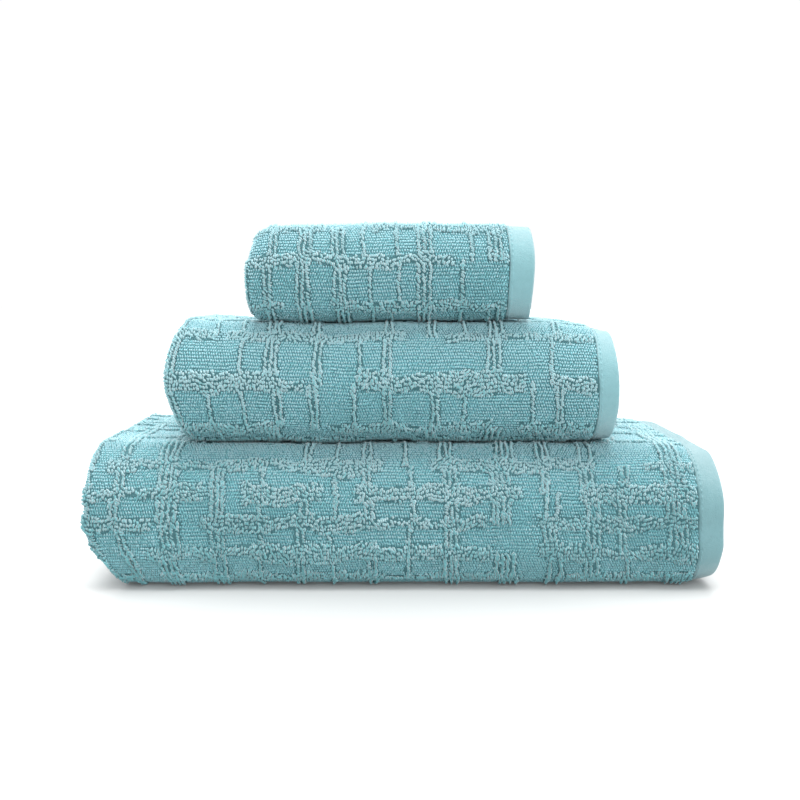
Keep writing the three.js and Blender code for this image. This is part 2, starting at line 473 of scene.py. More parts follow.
def terry_columns(plan, fine):
    """The doubled cloth's section: each column's x, distance from the middle, u and part."""
    half, inner = plan["half"], SHEET_GAP / 2
    fold, high = plan["fold_x"], plan["hem_x"] - JOINT_GAP
    out_x = np.linspace(high, fold, int((high - fold) / fine))
    back_x = np.linspace(fold, high, int((high - fold) / (fine * 5)))
    turn = np.linspace(0, math.pi, 12)[1:-1]
    small = np.linspace(math.pi, 0, 5)[1:-1]
    hidden = np.linspace(high, fold, 14)
    x = [out_x, fold - half * np.sin(turn), back_x]
    x += [hidden, fold - inner * np.sin(small), hidden[::-1]]
    n = [half + 0 * out_x, half * np.cos(turn), -half + 0 * back_x]
    n += [-inner + 0 * hidden, inner * np.cos(small), inner + 0 * hidden]
    around = math.pi * half
    u = [out_x - fold, -half * turn, -around - (back_x - fold), -around - (hidden - fold)]
    u += [-half * small, hidden[::-1] - fold]
    kind = [np.full(len(a), i) for i, a in enumerate(x)]
    return [np.concatenate(part) for part in (x, n, u, kind)]


def surface(plan, x, n, u, kind, s, settings):
    """The terry's surface over a grid of columns and stations, and how it stands there."""
    grid_s, grid_x = np.meshgrid(s, x, indexing="ij")
    grid_n = np.broadcast_to(n, grid_s.shape).copy()
    grid_u = np.broadcast_to(u, grid_s.shape)
    front_leaf, arc, rear_leaf = (kind == part for part in range(3))
    shown = np.zeros(grid_s.shape)
    shown[:, front_leaf] = exposure(plan, grid_x[:, front_leaf], grid_s[:, front_leaf], 1)
    shown[:, rear_leaf] = exposure(plan, grid_x[:, rear_leaf], grid_s[:, rear_leaf], -1)
    arc_turn = np.abs(n[arc]) / plan["half"]
    shown[:, arc] = np.maximum(
        1 - arc_turn**2,
        np.where(n[arc] > 0, exposure(plan, grid_x[:, arc], grid_s[:, arc], 1), 0),
    )
    height = raised(plan, grid_u, grid_s)
    relief = shown * (settings.relief * height - settings.cell_depth) - HELD_IN * (1 - shown)
    pressed = cover(plan, grid_x[:, front_leaf], grid_s[:, front_leaf])
    relief[:, front_leaf] -= PRESS_DEPTH * pressed
    outside = front_leaf | arc | rear_leaf
    grid_n = grid_n + np.sign(n) * outside * relief
    leftwards = np.where(arc, np.sqrt(np.maximum(0, 1 - (n / plan["half"]) ** 2)), 0)
    grid_x = grid_x - leftwards * relief
    return place(plan, grid_x, grid_s, grid_n), grid_u, height, shown


# ---------------------------------------------------------------- materials


def shader_of(name, colour, roughness, sheen):
    """A plain cotton or paper shader, to which a pattern may be wired."""
    material = bpy.data.materials.new(name)
    material.use_nodes = True
    shader = material.node_tree.nodes["Principled BSDF"]
    for key, value in (
        ("Base Color", (*colour, 1.0)),
        ("Roughness", roughness),
        ("Specular IOR Level", 0.25),
        ("Sheen Weight", sheen),
        ("Sheen Roughness", 0.45),
        ("Sheen Tint", (0.95, 0.98, 1.0, 1.0)),
    ):
        shader.inputs[key].default_value = value
    return material


class Wiring:
    """Short ways to add and join shader nodes."""

    def __init__(self, material):
        self.tree = material.node_tree
        self.shader = self.tree.nodes["Principled BSDF"]

    def add(self, kind, inputs=(), **settings):
        """A new node with its settings, and what is plugged into its sockets."""
        node = self.tree.nodes.new(kind)
        for key, value in settings.items():
            setattr(node, key, value)
        for key, value in dict(inputs).items():
            self.plug(value, node.inputs[key])
        return node

    def plug(self, value, socket):
        if isinstance(value, bpy.types.NodeSocket):
            self.tree.links.new(value, socket)
        else:
            socket.default_value = value

    def math(self, operation, *values, clamp=False):
        inputs = enumerate(values)
        return self.add("ShaderNodeMath", inputs, operation=operation, use_clamp=clamp).outputs[0]

    def scale(self, value, factor, plus=0.0, clamp=False):
        return self.math("MULTIPLY_ADD", value, factor, plus, clamp=clamp)

    def wave(self, turns):
        return self.math("SINE", turns)

    def humps(self, turns):
        """A rounded hump for each whole turn."""
        return self.math("ABSOLUTE", self.wave(self.scale(turns, math.pi)))

    def cloth(self, name, socket):
        return self.add("ShaderNodeAttribute", attribute_name=name).outputs[socket]

    def parts(self, vector):
        return self.add("ShaderNodeSeparateXYZ", {0: vector}).outputs

    def noise(self, vector, scale, detail=2.0, roughness=0.5):
        facts = {"Vector": vector, "Scale": scale, "Detail": detail, "Roughness": roughness}
        return self.add("ShaderNodeTexNoise", facts).outputs["Fac"]

    def mix(self, share, a, b):
        return self.add("ShaderNodeMix", {0: share, 2: a, 3: b}, data_type="FLOAT").outputs[0]

    def dye(self, share, a, b):
        """The surface's colour, from a to b."""
        inputs = {0: share, 6: (*a, 1.0), 7: (*b, 1.0)}
        colour = self.add("ShaderNodeMix", inputs, data_type="RGBA").outputs[2]
        self.plug(colour, self.shader.inputs["Base Color"])

    def bump(self, height, strength, distance):
        inputs = {"Strength": strength, "Distance": distance, "Height": height}
        normal = self.add("ShaderNodeBump", inputs).outputs["Normal"]
        self.plug(normal, self.shader.inputs["Normal"])


def scaled(colour, factor):
    return tuple(min(1.0, c * factor) for c in colour)


def terry_material(settings):
    """Rows of low loops in the sunken cells, and a rough nap where the pile is raised, with painted
    shade in the grooves, along the raised grid's edges and under the raised pile.
    """
    material = shader_of("terry_pile", settings.colour, 0.95, 0.0)
    w = Wiring(material)
    flat, pile = w.cloth("cloth_place", "Vector"), w.cloth("pile", "Fac")
    u, v, _ = w.parts(flat)
    drift = w.noise(flat, 0.22, 2.0)
    grain = w.noise(flat, 0.9, 3.0, 0.65)
    rows = w.scale(v, 1 / settings.rib_pitch, w.scale(drift, 1.6))
    rows = w.scale(grain, 0.35, rows)
    stagger = w.scale(w.math("FLOOR", rows), 0.37)
    beads = w.scale(grain, 0.9, w.scale(u, 1 / settings.loop_pitch, stagger))
    rib, knot = w.scale(w.humps(rows), 0.75, 0.25), w.scale(w.humps(beads), 0.75, 0.25)
    cell = w.scale(w.scale(rib, knot), w.scale(grain, 1.0, 0.5))
    w.bump(w.mix(pile, cell, w.noise(flat, 0.9, 4.0, 0.7)), 1.0, 0.0012)
    # Painted shade: the base cloth is darkened in the grooves between the rows and low loops, in a
    # line along the raised grid's edges, and under the raised pile, where shadow falls.
    flatness = w.math("SUBTRACT", 1.0, pile)
    shade = w.scale(w.scale(pile, flatness), -2.2, w.scale(cell, 1.15))
    shade = w.scale(shade, flatness, clamp=True)
    w.dye(shade, scaled(settings.colour, 0.33), scaled(settings.colour, 0.95))
    return material


def yarn_materials(name, colour, spread, sheen, paler):
    """Three tones of one yarn: deep, middle, and a light one with a painted pale haze. Loops facing
    down lean to the deep tone and loops facing up to the light one, as painted shade and painted
    highlight.
    """
    colour = tuple(c * (1 + 0.12 * paler) + 0.03 * paler for c in colour)
    # The light tone carries the painted pale haze, a painted highlight.
    light = tuple(c + haze for c, haze in zip(colour, PAINTED_HAZE))
    tones = {"deep": scaled(colour, 1 - spread), "middle": colour, "light": light}
    return [shader_of(f"{name}_{tone}", dyed, 0.9, sheen) for tone, dyed in tones.items()]


def woven_material(settings, name, paler):
    """A fine plain weave with a soft nap, slightly slubby."""
    colour = scaled(settings.colour, 1 + HEM_PALER * paler)
    material = shader_of(f"{name}_flat_weave", colour, 0.85, 0.7)
    w = Wiring(material)
    flat = w.cloth("cloth_place", "Vector")
    across, along, _ = w.parts(flat)
    turn = 2 * math.pi / settings.thread_pitch
    drift = w.scale(w.noise(flat, 0.5, 2.0), 4.0)
    warp, weft = (w.wave(w.scale(way, turn, drift)) for way in (across, along))
    weave = w.scale(w.scale(warp, weft), 0.5, 0.5)
    slub = w.noise(flat, 0.35, 3.0)
    nap = w.noise(flat, 1.3, 3.0, 0.7)
    w.bump(w.scale(nap, 1.6, w.scale(slub, 0.8, weave)), 0.8, 0.0004)
    tone = w.scale(weave, 0.25, w.scale(slub, 0.4))
    tone = w.scale(nap, 0.4, tone, clamp=True)
    w.dye(tone, scaled(colour, 0.76), scaled(colour, 1.16))
    return material


def satin_material(settings):
    """Ribbon with a fine lengthwise thread."""
    material = shader_of("satin_ribbon", settings.colour, 0.4, 0.1)
    w = Wiring(material)
    place_of = w.add("ShaderNodeTexCoord").outputs["Object"]
    thread = w.scale(w.parts(place_of)[0], 2 * math.pi / (SATIN_PITCH * MM))
    w.bump(w.wave(thread), 0.4, 0.0001)
    w.dye(w.noise(place_of, 600.0, 2.0), scaled(settings.colour, 0.93), settings.colour)
    return material


# ---------------------------------------------------------------- settings


DYE = {"subtype": "COLOR", "size": 3, "min": 0.0, "max": 1.0}


class ClothSettings(bpy.types.PropertyGroup):
    colour: bpy.props.FloatVectorProperty(
        name="Terry Colour", default=(0.184, 0.469, 0.520), **DYE,
        description="Colour of the dyed cotton",
    )
    pile_colour: bpy.props.FloatVectorProperty(
        name="Pile Colour", default=(0.162, 0.409, 0.445), **DYE,
        description="Colour of the tall loops, which catch the light",
    )
    relief: bpy.props.FloatProperty(
        name="Raised Pile", default=1.0, min=0.0,
        description="Height of the raised grid above the sunken cells, in millimetres",
    )
    cell_depth: bpy.props.FloatProperty(
        name="Cell Depth", default=0.6, min=0.0,
        description="How far the cells sink below the cloth's face, in millimetres",
    )
    rib_pitch: bpy.props.FloatProperty(
        name="Rib Pitch", default=1.75, min=0.2,
        description="Distance between rows of low loops, in millimetres",
    )
    loop_pitch: bpy.props.FloatProperty(
        name="Loop Pitch", default=1.4, min=0.2,
        description="Distance between low loops in a row, in millimetres",
    )


class PileSettings(bpy.types.PropertyGroup):
    spacing: bpy.props.FloatProperty(
        name="Loop Spacing", default=1.3, min=0.5,
        description="Distance between tall loops side by side, in millimetres",
    )
    row_pitch: bpy.props.FloatProperty(
        name="Row Spacing", default=1.85, min=0.5,
        description="Distance between the rows of tall loops in a band, in millimetres",
    )
    cord_pitch: bpy.props.FloatProperty(
        name="Cord Pitch", default=1.2, min=0.5,
        description="Distance between the slanting loops of a stroke, in millimetres",
    )
    length: bpy.props.FloatProperty(
        name="Loop Length", default=2.15, min=0.5,
        description="Length of a tall loop along the cloth, in millimetres",
    )
    rise: bpy.props.FloatProperty(
        name="Loop Rise", default=0.85, min=0.1,
        description="How far a tall loop stands above the cloth, in millimetres",
    )
    thickness: bpy.props.FloatProperty(
        name="Yarn Thickness", default=1.5, min=0.1,
        description="Thickness of the loops' yarn, in millimetres",
    )
    knot_length: bpy.props.FloatProperty(
        name="Low Loop Length", default=1.22, min=0.1,
        description="Length of a low loop, in millimetres",
    )
    knot_width: bpy.props.FloatProperty(
        name="Low Loop Width", default=1.5, min=0.1,
        description="Width of a low loop, in millimetres",
    )
    knot_rise: bpy.props.FloatProperty(
        name="Low Loop Rise", default=0.75, min=0.1,
        description="How far a low loop stands above the cloth, in millimetres",
    )


class HemSettings(bpy.types.PropertyGroup):
    colour: bpy.props.FloatVectorProperty(
        name="Hem Colour", default=(0.175, 0.35, 0.38), **DYE,
        description="Colour of the flat woven hems",
    )
    thread_pitch: bpy.props.FloatProperty(
        name="Thread Pitch", default=0.7, min=0.1,
        description="Distance between the threads of the weave, in millimetres",
    )


class StitchSettings(bpy.types.PropertyGroup):
    colour: bpy.props.FloatVectorProperty(
        name="Thread Colour", default=(0.18, 0.35, 0.38), **DYE,
        description="Colour of the sewing thread",
    )
    pitch: bpy.props.FloatProperty(
        name="Stitch Pitch", default=3.2, min=1.0,
        description="Distance from one stitch to the next, in millimetres",
    )


class LabelSettings(bpy.types.PropertyGroup):
    colour: bpy.props.FloatVectorProperty(
        name="Ribbon Colour", default=(0.86, 0.85, 0.81), **DYE,
        description="Colour of the blank care label",
    )


class StageSettings(bpy.types.PropertyGroup):
    lens: bpy.props.FloatProperty(
        name="Lens", default=50.4, min=10.0,
        description="Focal length of the camera, in millimetres",
    )
    distance: bpy.props.FloatProperty(
        name="Camera Distance", default=0.600, unit="LENGTH",
        description="From the front of the bath towel to the camera",
    )
    height: bpy.props.FloatProperty(
        name="Camera Height", default=0.162, unit="LENGTH",
        description="Height of the camera above the floor",
    )
    tilt: bpy.props.FloatProperty(
        name="Camera Tilt", default=math.radians(5.584), subtype="ANGLE", unit="ROTATION",
        description="How far the camera looks down",
    )


# ---------------------------------------------------------------- operators


class TOWELS_OT_terry(bpy.types.Operator):
    """Makes the folded terry cloth of each towel, with its raised grid"""

    bl_idname = "towels.terry"
    bl_label = "Terry Cloths"

    def execute(self, context):
        settings = context.scene.towel_cloth
        material = terry_material(settings)
        for name, plan in PLANS.items():
            x, n, u, kind = terry_columns(plan, plan["fine"])
            cut = plan["end_hem"] + JOINT_GAP
            s = stations(plan, plan["fine"], TERRY_HIDDEN_STEP, cut, plan["length"] - cut)
            grid, flat_u, height, shown = surface(plan, x, n, u, kind, s, settings)
            attributes = {
                "cloth_place": flat_places(flat_u, s[:, None]),
                "pile": (height * shown).ravel(),
            }
            body = f"{name}_towel"
            cloth = swept_piece(f"{name}_terry", grid, body, "terry", material, attributes)
            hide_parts(f"{name}_terry_cloth")
        return {"FINISHED"}


def cloth_reach(plan):
    """The u of the terry's two long edges, measured round the fold, and its start and end."""
    across = plan["hem_x"] - JOINT_GAP - plan["fold_x"]
    first = -math.pi * plan["half"] - across + EDGE_INSET
    start, end = plan["end_hem"] + END_INSET, plan["length"] - plan["end_hem"] - END_INSET
    return first, across - EDGE_INSET, start, end


def spots_at(plan, cloth, u, s):
    """Of places on the cloth, the ones that show, each with its axes and the pile's height."""
    half, fold, high = plan["half"], plan["fold_x"], plan["hem_x"] - JOINT_GAP
    around = math.pi * half
    u = np.clip(u, -around - (high - fold) + 0.5, high - fold - 0.5)
    shown = np.zeros(len(u))
    front, rear = u >= 0, u <= -around
    bent = ~front & ~rear
    turn = np.clip(-u / half, 0, math.pi)
    x = np.where(front, fold + u, np.where(rear, fold - (u + around), fold - half * np.sin(turn)))
    shown[front] = exposure(plan, x[front], s[front], 1)
    shown[rear] = exposure(plan, x[rear], s[rear], -1)
    shown[bent] = np.maximum(
        np.sin(turn[bent]) ** 2,
        np.where(turn[bent] < math.pi / 2, exposure(plan, x[bent], s[bent], 1), 0),
    )
    keep = shown > SHOWN_ENOUGH
    u, s, x, turn, shown = (a[keep] for a in (u, s, x, turn, shown))
    height = raised(plan, u, s)
    lift = shown * (cloth.relief * height - cloth.cell_depth)
    lift = lift - PRESS_DEPTH * (u >= 0) * cover(plan, x, s)
    out_n = np.where(u >= 0, 1.0, np.where(u <= -around, -1.0, np.cos(turn)))
    out_x = np.where((u < 0) & (u > -around), -np.sin(turn), 0.0)
    n = (half + lift) * out_n
    x = x + lift * out_x
    here = place(plan, x, s, n)
    normal = unit(place(plan, x + NEAR * out_x, s, n + NEAR * out_n) - here)
    down = unit(place(plan, x, s + NEAR, n) - here)
    side = unit(np.cross(normal, down))
    spots = {"u": u, "s": s, "shown": shown, "height": height * shown}
    spots.update(here=here, normal=normal, down=down, side=side)
    return spots, keep


def band_loops(plan, cloth, rng, settings):
    """Tall loops standing side by side in rows, all along each raised band."""
    first, last, start, end = cloth_reach(plan)
    at_u, at_s = [], []
    for band in plan["grid"]["bands"]:
        rows = max(1, round(3.4 * band[1] / settings.row_pitch))
        for row in range(rows):
            u = np.arange(first, last, settings.spacing)
            u = u + rng.uniform(-0.3, 0.3, len(u)) * settings.spacing
            off = (row - (rows - 1) / 2) * settings.row_pitch
            at_u.append(u)
            at_s.append(band_line(band, u) + off + rng.normal(0, 0.3, len(u)))
    u, s = np.concatenate(at_u), np.concatenate(at_s)
    inside = (s > start) & (s < end)
    u, s = u[inside], s[inside]
    spots, _ = spots_at(plan, cloth, u, s)
    spots = chosen(spots, spots["height"] > TALL_FROM)
    u, s = spots["u"], spots["s"]
    sway = 0.45 * ripple(u / 9 + s / 23) + 0.25 * ripple(s / 6 - u / 17)
    spots["sway"] = sway + rng.normal(0, 0.25, len(u))
    return spots


def stroke_loops(plan, cloth, rng, settings):
    """Slanting loops packed into a cord, all along each raised stroke."""
    first, last, start, end = cloth_reach(plan)
    at_u, at_s, slant = [], [], []
    for j, (centre, _, phase) in enumerate(plan["grid"]["strokes"]):
        if not first < centre < last:
            continue
        s = np.arange(start, end, settings.cord_pitch)
        s = s + rng.uniform(-0.2, 0.2, len(s)) * settings.cord_pitch
        at_u.append(stroke_line(plan["grid"], j, s) + rng.normal(0, 0.15, len(s)))
        at_s.append(s)
        slant.append(np.full(len(s), 0.65 + 0.2 * ripple(phase)) + rng.normal(0, 0.2, len(s)))
    u, s, slant = np.concatenate(at_u), np.concatenate(at_s), np.concatenate(slant)
    inside = (u > first) & (u < last) & (stroke_height(plan["grid"], u, s) > 0.5)
    inside &= band_height(plan["grid"], u, s) < 0.5
    u, s, slant = u[inside], s[inside], slant[inside]
    spots, keep = spots_at(plan, cloth, u, s)
    spots["sway"] = slant[keep]
    return spots


def edge_loops(plan, cloth, rng, settings):
    """Loops that hang over the seams, along the terry's two long edges."""
    first, last, start, end = cloth_reach(plan)
    s = np.arange(start, end, settings.cord_pitch * 0.8)
    s = np.concatenate([s, s]) + rng.normal(0, 0.25, 2 * len(s))
    near = np.repeat([1.0, 0.0], len(s) // 2)
    u = np.where(near > 0, last - 0.2, first + 0.2) + rng.normal(0, 0.25, len(s))
    spots, keep = spots_at(plan, cloth, u, s)
    spots["sway"] = 1.25 + rng.normal(0, 0.35, keep.sum())
    out = rng.uniform(0.5, 2.4, keep.sum())
    way = np.where(near[keep] > 0, out, -out)
    drop = out * rng.uniform(0.1, 0.9, keep.sum())
    aside, below = spots["side"] * way[:, None], spots["normal"] * drop[:, None]
    spots["here"] = spots["here"] + aside - below
    return spots


def low_loops(plan, cloth, rng):
    """Low loops in close rows over the sunken cells."""
    first, last, start, end = cloth_reach(plan)
    rows = np.arange(start, end, cloth.rib_pitch)
    u, s = np.meshgrid(np.arange(first, last, cloth.loop_pitch), rows)
    s = s + 0.3 * ripple(u / 11) + rng.normal(0, 0.1, u.shape)
    every_other = np.arange(len(rows))[:, None] % 2
    u = u + 0.5 * cloth.loop_pitch * every_other + rng.normal(0, 0.14, u.shape)
    spots, _ = spots_at(plan, cloth, u.ravel(), s.ravel())
    return chosen(spots, spots["height"] < LOW_UP_TO)


def chosen(spots, keep):
    return {key: value[keep] for key, value in spots.items()}


def tone_of(spots, rng, paler):
    """Which of the yarn's tones each loop has: 0 the deepest, 2 the lightest. The tones wander at
    random and lean lighter on paler towels, and loops facing up are made lighter and loops facing
    down deeper, as painted highlight and painted shade.
    """
    u, s = spots["u"], spots["s"]
    value = 0.5 + 0.5 * paler + 0.25 * ripple(u / 38 + s / 61) + 0.2 * ripple(s / 17 - u / 53)
    # Painted light: the tone rises where a loop faces up and falls where it faces down.
    value = value + 0.7 * spots["normal"][:, 2] + rng.normal(0, 0.35, len(u))
    return np.clip((value * 3).astype(int), 0, 2)


def repeated(rings, *shapes):
    """Points and faces of many copies of one small shape, from its corners and its faces."""
    points = np.stack(rings, 1).reshape(-1, 3)
    base = np.arange(len(rings[0]))[:, None, None] * len(rings)
    return points, [(np.array(s)[None] + base).reshape(-1, len(s[0])) for s in shapes]


def tube_sides(rings, sides):
    """The quads between the rings of a small tube."""
    faces = []
    for a in range(0, (rings - 1) * sides, sides):
        for k in range(sides):
            b, m = a + sides, (k + 1) % sides
            faces.append([a + k, b + k, b + m, a + m])
    return faces


def times(vectors, sizes):
    return vectors * sizes[:, None]


def knot_mesh(spots, rng, settings):
    """Points and faces of many low loops, each a small closed bead sunk in the cloth."""
    count = len(spots["u"])
    here, normal = spots["here"], spots["normal"]
    long = settings.knot_length / 2 * rng.uniform(0.8, 1.15, count)
    wide = settings.knot_width / 2 * rng.uniform(0.85, 1.15, count)
    rise = settings.knot_rise * rng.uniform(0.6, 1.3, count) * spots["shown"]
    turn = rng.normal(0, 0.25, count)
    way = times(spots["side"], np.cos(turn)) + times(spots["down"], np.sin(turn))
    across = np.cross(normal, way)
    rings = []
    for size, up in ((1.0, -0.2), (0.78, 0.7)):
        for k in range(KNOT_SIDES):
            a = 2 * math.pi * k / KNOT_SIDES
            out = times(way, long * math.cos(a)) + times(across, wide * math.sin(a))
            rings.append(here + out * size + times(normal, rise * up))
    rings.append(here + times(normal, rise))
    sides, caps = [[3, 2, 1, 0]], []
    for k in range(KNOT_SIDES):
        m = (k + 1) % KNOT_SIDES
        sides.append([k, m, KNOT_SIDES + m, KNOT_SIDES + k])
        caps.append([KNOT_SIDES + k, KNOT_SIDES + m, 2 * KNOT_SIDES])
    return repeated(rings, sides, caps)


def loop_mesh(spots, rng, settings):
    """Points and faces of many small yarn arches."""
    count = len(spots["u"])
    here, normal, sway = spots["here"], spots["normal"], spots["sway"]
    lean = unit(times(spots["down"], np.cos(sway)) + times(spots["side"], np.sin(sway)))
    side = np.cross(normal, lean)
    long = settings.length * rng.uniform(0.75, 1.2, count)
    rise = settings.rise * rng.uniform(0.6, 1.2, count) * spots["shown"]
    curl = rng.normal(0, 0.3, count)
    thick = settings.thickness / 2 * rng.uniform(0.85, 1.15, count)
    rings = []
    for i in range(LOOP_RINGS):
        t = i / (LOOP_RINGS - 1)
        arch = 4 * t * (1 - t)
        centre = here + times(lean, long * (t - 0.5))
        centre = centre + times(normal, rise * arch - 0.35) + times(side, curl * arch)
        radius = thick * (0.7 + 0.3 * arch)
        for k in range(LOOP_SIDES):
            a = 2 * math.pi * k / LOOP_SIDES + math.pi / 2
            out = times(normal, radius * math.sin(a))
            rings.append(centre + out + times(side, radius * math.cos(a)))
    sides = tube_sides(LOOP_RINGS, LOOP_SIDES)
    end = (LOOP_RINGS - 1) * LOOP_SIDES
    points, (quads, tris) = repeated(rings, sides, [[0, 1, 2], [end + 2, end + 1, end]])
    if faces_in(points - here[0], quads[: len(sides)]):
        quads, tris = quads[:, ::-1], tris[:, ::-1]
    return points, [quads, tris]


def dress(name, kind, spots, most, rng, build, materials):
    """Adds loops to one towel, as pieces of one tone each."""
    spots = chosen(spots, spots["here"][:, 2] > FLOOR_CLEARANCE)
    tones = tone_of(spots, rng, TOWELS[name]["paler"])
    made = 0
    for tone, material in enumerate(materials):
        mine = np.flatnonzero(tones == tone)
        for part in np.array_split(mine, max(1, math.ceil(len(mine) / most))):
            if len(part):
                made += 1
                points, faces = build(chosen(spots, part))
                piece = f"{name}_{kind}_{made}"
                new_piece(piece, points, faces, f"{name}_towel", "terry", material)


class TOWELS_OT_pile(bpy.types.Operator):
    """Covers the raised grid with tall loops of yarn"""

    bl_idname = "towels.pile"
    bl_label = "Raised Pile"

    def execute(self, context):
        settings, cloth = context.scene.towel_pile, context.scene.towel_cloth
        for name, plan in PLANS.items():
            materials = yarn_materials(
                f"{name}_tall_loops", cloth.pile_colour, 0.18, 0.75, plan["paler"]
            )
            rng = np.random.default_rng(plan["seed"] + TALL_SEED)
            parts = [
                lay(plan, cloth, rng, settings) for lay in (band_loops, stroke_loops, edge_loops)
            ]
            spots = {key: np.concatenate([part[key] for part in parts]) for key in parts[0]}
            build = functools.partial(loop_mesh, rng=rng, settings=settings)
            dress(name, "tall_loops", spots, LOOPS_IN_A_PIECE, rng, build, materials)
        return {"FINISHED"}


class TOWELS_OT_knots(bpy.types.Operator):
    """Fills the sunken cells with rows of low loops"""

    bl_idname = "towels.knots"
    bl_label = "Low Loops"

    def execute(self, context):
        settings, cloth = context.scene.towel_pile, context.scene.towel_cloth
        for name, plan in PLANS.items():
            materials = yarn_materials(
                f"{name}_low_loops", cloth.colour, 0.17, 0.8, plan["paler"]
            )
            rng = np.random.default_rng(plan["seed"] + LOW_SEED)
            spots = low_loops(plan, cloth, rng)
            build = functools.partial(knot_mesh, rng=rng, settings=settings)
            dress(name, "low_loops", spots, KNOTS_IN_A_PIECE, rng, build, materials)
        return {"FINISHED"}


def hem_section(plan, side):
    """A side hem's section with a soft outer edge: x and distance from the middle of the fold."""
    middle, half, count = side * plan["leaf"], HEM_THICK / 2, 12
    edge = plan["right"] - half
    over = np.linspace(plan["hem_x"], edge, count)
    turn = np.linspace(math.pi / 2, -math.pi / 2, 7)[1:-1]
    x = [over, edge + half * np.cos(turn), over[::-1]]
    n = [np.full(count, middle + half), middle + half * np.sin(turn), np.full(count, middle - half)]
    return np.concatenate(x), np.concatenate(n)


def hem_piece(name, node, grid, x, s, material):
    """A woven hem from its grid of points, in place of its plain solid."""
    places = {"cloth_place": flat_places(x, s)}
    hem = swept_piece(f"{node}_cloth", grid, f"{name}_towel", "flat_weave", material, places)
    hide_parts(node)


class TOWELS_OT_side_hems(bpy.types.Operator):
    """Makes the flat woven hems along the open side of each towel"""

    bl_idname = "towels.side_hems"
    bl_label = "Side Hems"

    def execute(self, context):
        for name, plan in PLANS.items():
            material = woven_material(context.scene.towel_hem, name, plan["paler"])
            for label, side in (("outer", 1), ("inner", -1)):
                x, n = hem_section(plan, side)
                s = stations(plan, HEM_STEP, HEM_HIDDEN_STEP, 0.0, plan["length"])
                grid_s, grid_x = np.meshgrid(s, x, indexing="ij")
                reach = (grid_x - plan["hem_x"]) / (plan["right"] - plan["hem_x"])
                pucker = 0.16 * ripple(grid_s / 2.3 + side) * np.exp(-((reach - 0.16) ** 2) / 0.02)
                wave = 0.35 * ripple(grid_s / 16 + plan["seed"]) * reach
                edge = 0.5 * ripple(grid_s / 24 + 2 * side) * reach
                grid = place(plan, grid_x + edge, grid_s, n + pucker + wave * side)
                hem_piece(name, f"{name}_side_hem_{label}", grid, grid_x, grid_s, material)
        return {"FINISHED"}


class TOWELS_OT_end_hems(bpy.types.Operator):
    """Makes the hems across the two free ends of each towel"""

    bl_idname = "towels.end_hems"
    bl_label = "End Hems"

    def execute(self, context):
        for name, plan in PLANS.items():
            material = bpy.data.materials[f"{name}_flat_weave"]
            near, far = plan["leaf"] - HEM_THICK / 2, plan["leaf"] + HEM_THICK / 2
            over = np.linspace(plan["hem_x"] - JOINT_GAP, plan["fold_x"], 60)
            turn = np.linspace(0, math.pi, 11)[1:-1]
            level = np.ones(len(over))
            x, n = [], []
            for radius, way in ((far, 1), (near, -1)):
                x += [over, plan["fold_x"] - radius * np.sin(turn), over[::-1]]
                n += [way * radius * level, radius * np.cos(turn[::way]), -way * radius * level]
            x, n = np.concatenate(x), np.concatenate(n)
            depth, length = plan["end_hem"], plan["length"]
            for label, reach in (("first", (0.0, depth)), ("last", (length - depth, length))):
                s = np.linspace(*reach, 9)
                grid_s, grid_x = np.meshgrid(s, x, indexing="ij")
                wave = 0.12 * ripple(grid_x / 9 + grid_s / 7)
                grid = place(plan, grid_x, grid_s + 0.12 * ripple(grid_x / 31), n + wave)
                hem_piece(name, f"{name}_end_hem_{label}", grid, grid_x, grid_s, material)
        return {"FINISHED"}


def stitch_mesh(here, normal, along, length, thick):
    """Points and faces of a row of stitches, each a short pad of thread."""
    side = np.cross(normal, along)
    shape = [(-0.5, 0.2, -0.4), (-0.28, 0.85, 0.5), (0.28, 0.85, 0.5), (0.5, 0.2, -0.4)]
    rings = []
    for reach, wide, up in shape:
        centre = here + along * (reach * length) + normal * (thick * (up - 0.3))
        for k in range(4):
            a = 2 * math.pi * k / 4 + math.pi / 4
            rings.append(centre + (normal * math.sin(a) + side * math.cos(a)) * (wide * thick))
    faces = [[0, 1, 2, 3], [15, 14, 13, 12]] + tube_sides(4, 4)
    points, [quads] = repeated(rings, faces)
    if faces_in(points - here[0], quads[: len(faces)]):
        quads = quads[:, ::-1]
    return points, [quads]


